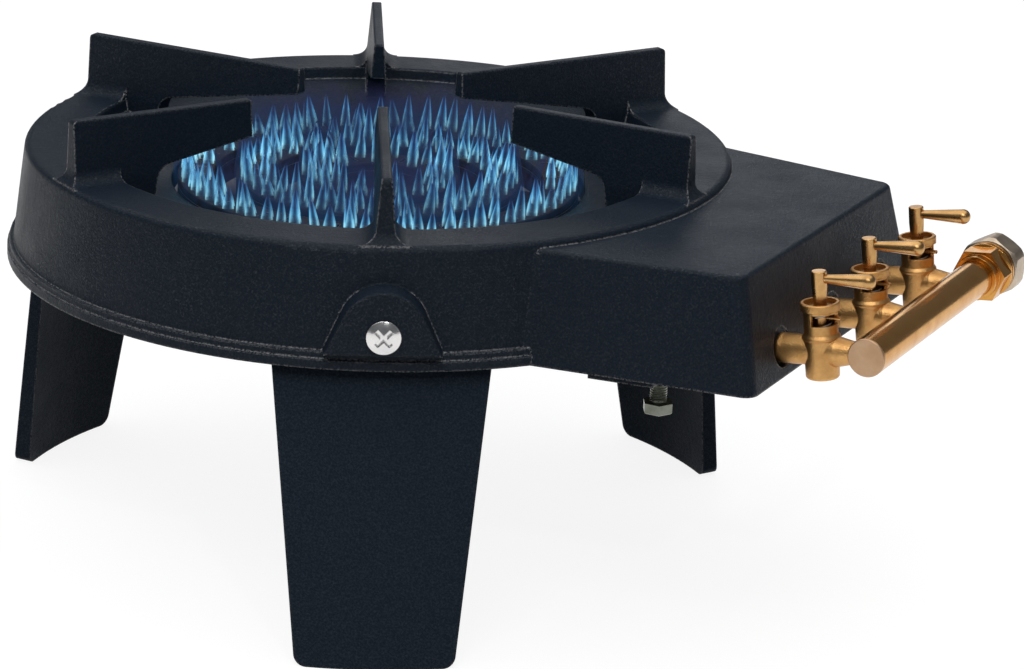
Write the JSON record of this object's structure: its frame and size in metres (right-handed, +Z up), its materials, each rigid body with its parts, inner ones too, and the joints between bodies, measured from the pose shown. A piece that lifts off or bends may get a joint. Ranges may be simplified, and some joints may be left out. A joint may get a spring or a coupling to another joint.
{
  "type": "cast iron gas stove",
  "caption": "Low round cast iron gas stove on flared legs: radial pan supports over ring burners, a side box with lever taps and a brass gas manifold.",
  "frame": {"origin": "centre of the bounding box on the floor plane under the feet", "axes": "+X from the burner towards the taps, +Y along the manifold towards the gas inlet, +Z up"},
  "size_m": [0.5022, 0.3732, 0.2291],
  "materials": {
    "enamelled_iron": "satin black enamel over fine sand-cast texture",
    "burner_iron": "dull as-cast",
    "cast_brass": "satin cast",
    "turned_brass": "turned",
    "drawn_brass": "polished",
    "chromed_steel": "mirror",
    "zinc_steel": "zinc plated",
    "spring_steel": "drawn wire",
    "nickelled_steel": "dull nickel plated",
    "fibre": "pressed fibre"
  },
  "bodies": {
    "stove": {"hood_casting": "enamelled_iron", "leg_front": "enamelled_iron", "leg_left": "enamelled_iron", "leg_rear": "enamelled_iron", "leg_screws": "chromed_steel", "leg_washers": "zinc_steel", "leg_nuts": "zinc_steel", "outer_burner": "burner_iron", "middle_burner": "burner_iron", "inner_burner": "burner_iron", "outer_burner_cap": "burner_iron", "middle_burner_cap": "burner_iron", "inner_burner_cap": "burner_iron", "burner_strap": "zinc_steel", "clamp_screws": "zinc_steel", "clamp_nuts": "zinc_steel", "front_tap_body": "cast_brass", "middle_tap_body": "cast_brass", "rear_tap_body": "cast_brass", "front_tap_keeper": "turned_brass", "middle_tap_keeper": "turned_brass", "rear_tap_keeper": "turned_brass", "tap_locknuts": "turned_brass", "outer_injector": "turned_brass", "middle_injector": "turned_brass", "inner_injector": "turned_brass", "manifold_tube": "drawn_brass", "manifold_end_cap": "drawn_brass", "inlet_nipple": "drawn_brass", "inlet_washer": "fibre", "coupling_nut": "nickelled_steel"},
    "front_tap": {"front_tap_plug": "turned_brass", "front_tap_spindle": "turned_brass", "front_tap_lever": "turned_brass", "front_tap_stop_pin": "turned_brass", "front_tap_spring": "spring_steel"},
    "middle_tap": {"middle_tap_plug": "turned_brass", "middle_tap_spindle": "turned_brass", "middle_tap_lever": "turned_brass", "middle_tap_stop_pin": "turned_brass", "middle_tap_spring": "spring_steel"},
    "rear_tap": {"rear_tap_plug": "turned_brass", "rear_tap_spindle": "turned_brass", "rear_tap_lever": "turned_brass", "rear_tap_stop_pin": "turned_brass", "rear_tap_spring": "spring_steel"}
  },
  "joints": [
    {"name": "front_tap_turn", "type": "hinge", "parent": "stove", "child": "front_tap", "pos_m": [0.21305, -0.061, 0.15723], "axis": [-0.1132, 0, 0.9936], "range_deg": [-90, 0]},
    {"name": "middle_tap_turn", "type": "hinge", "parent": "stove", "child": "middle_tap", "pos_m": [0.21305, 0, 0.15723], "axis": [-0.1132, 0, 0.9936], "range_deg": [-90, 0]},
    {"name": "rear_tap_turn", "type": "hinge", "parent": "stove", "child": "rear_tap", "pos_m": [0.21305, 0.061, 0.15723], "axis": [-0.1132, 0, 0.9936], "range_deg": [-90, 0]}
  ]
}
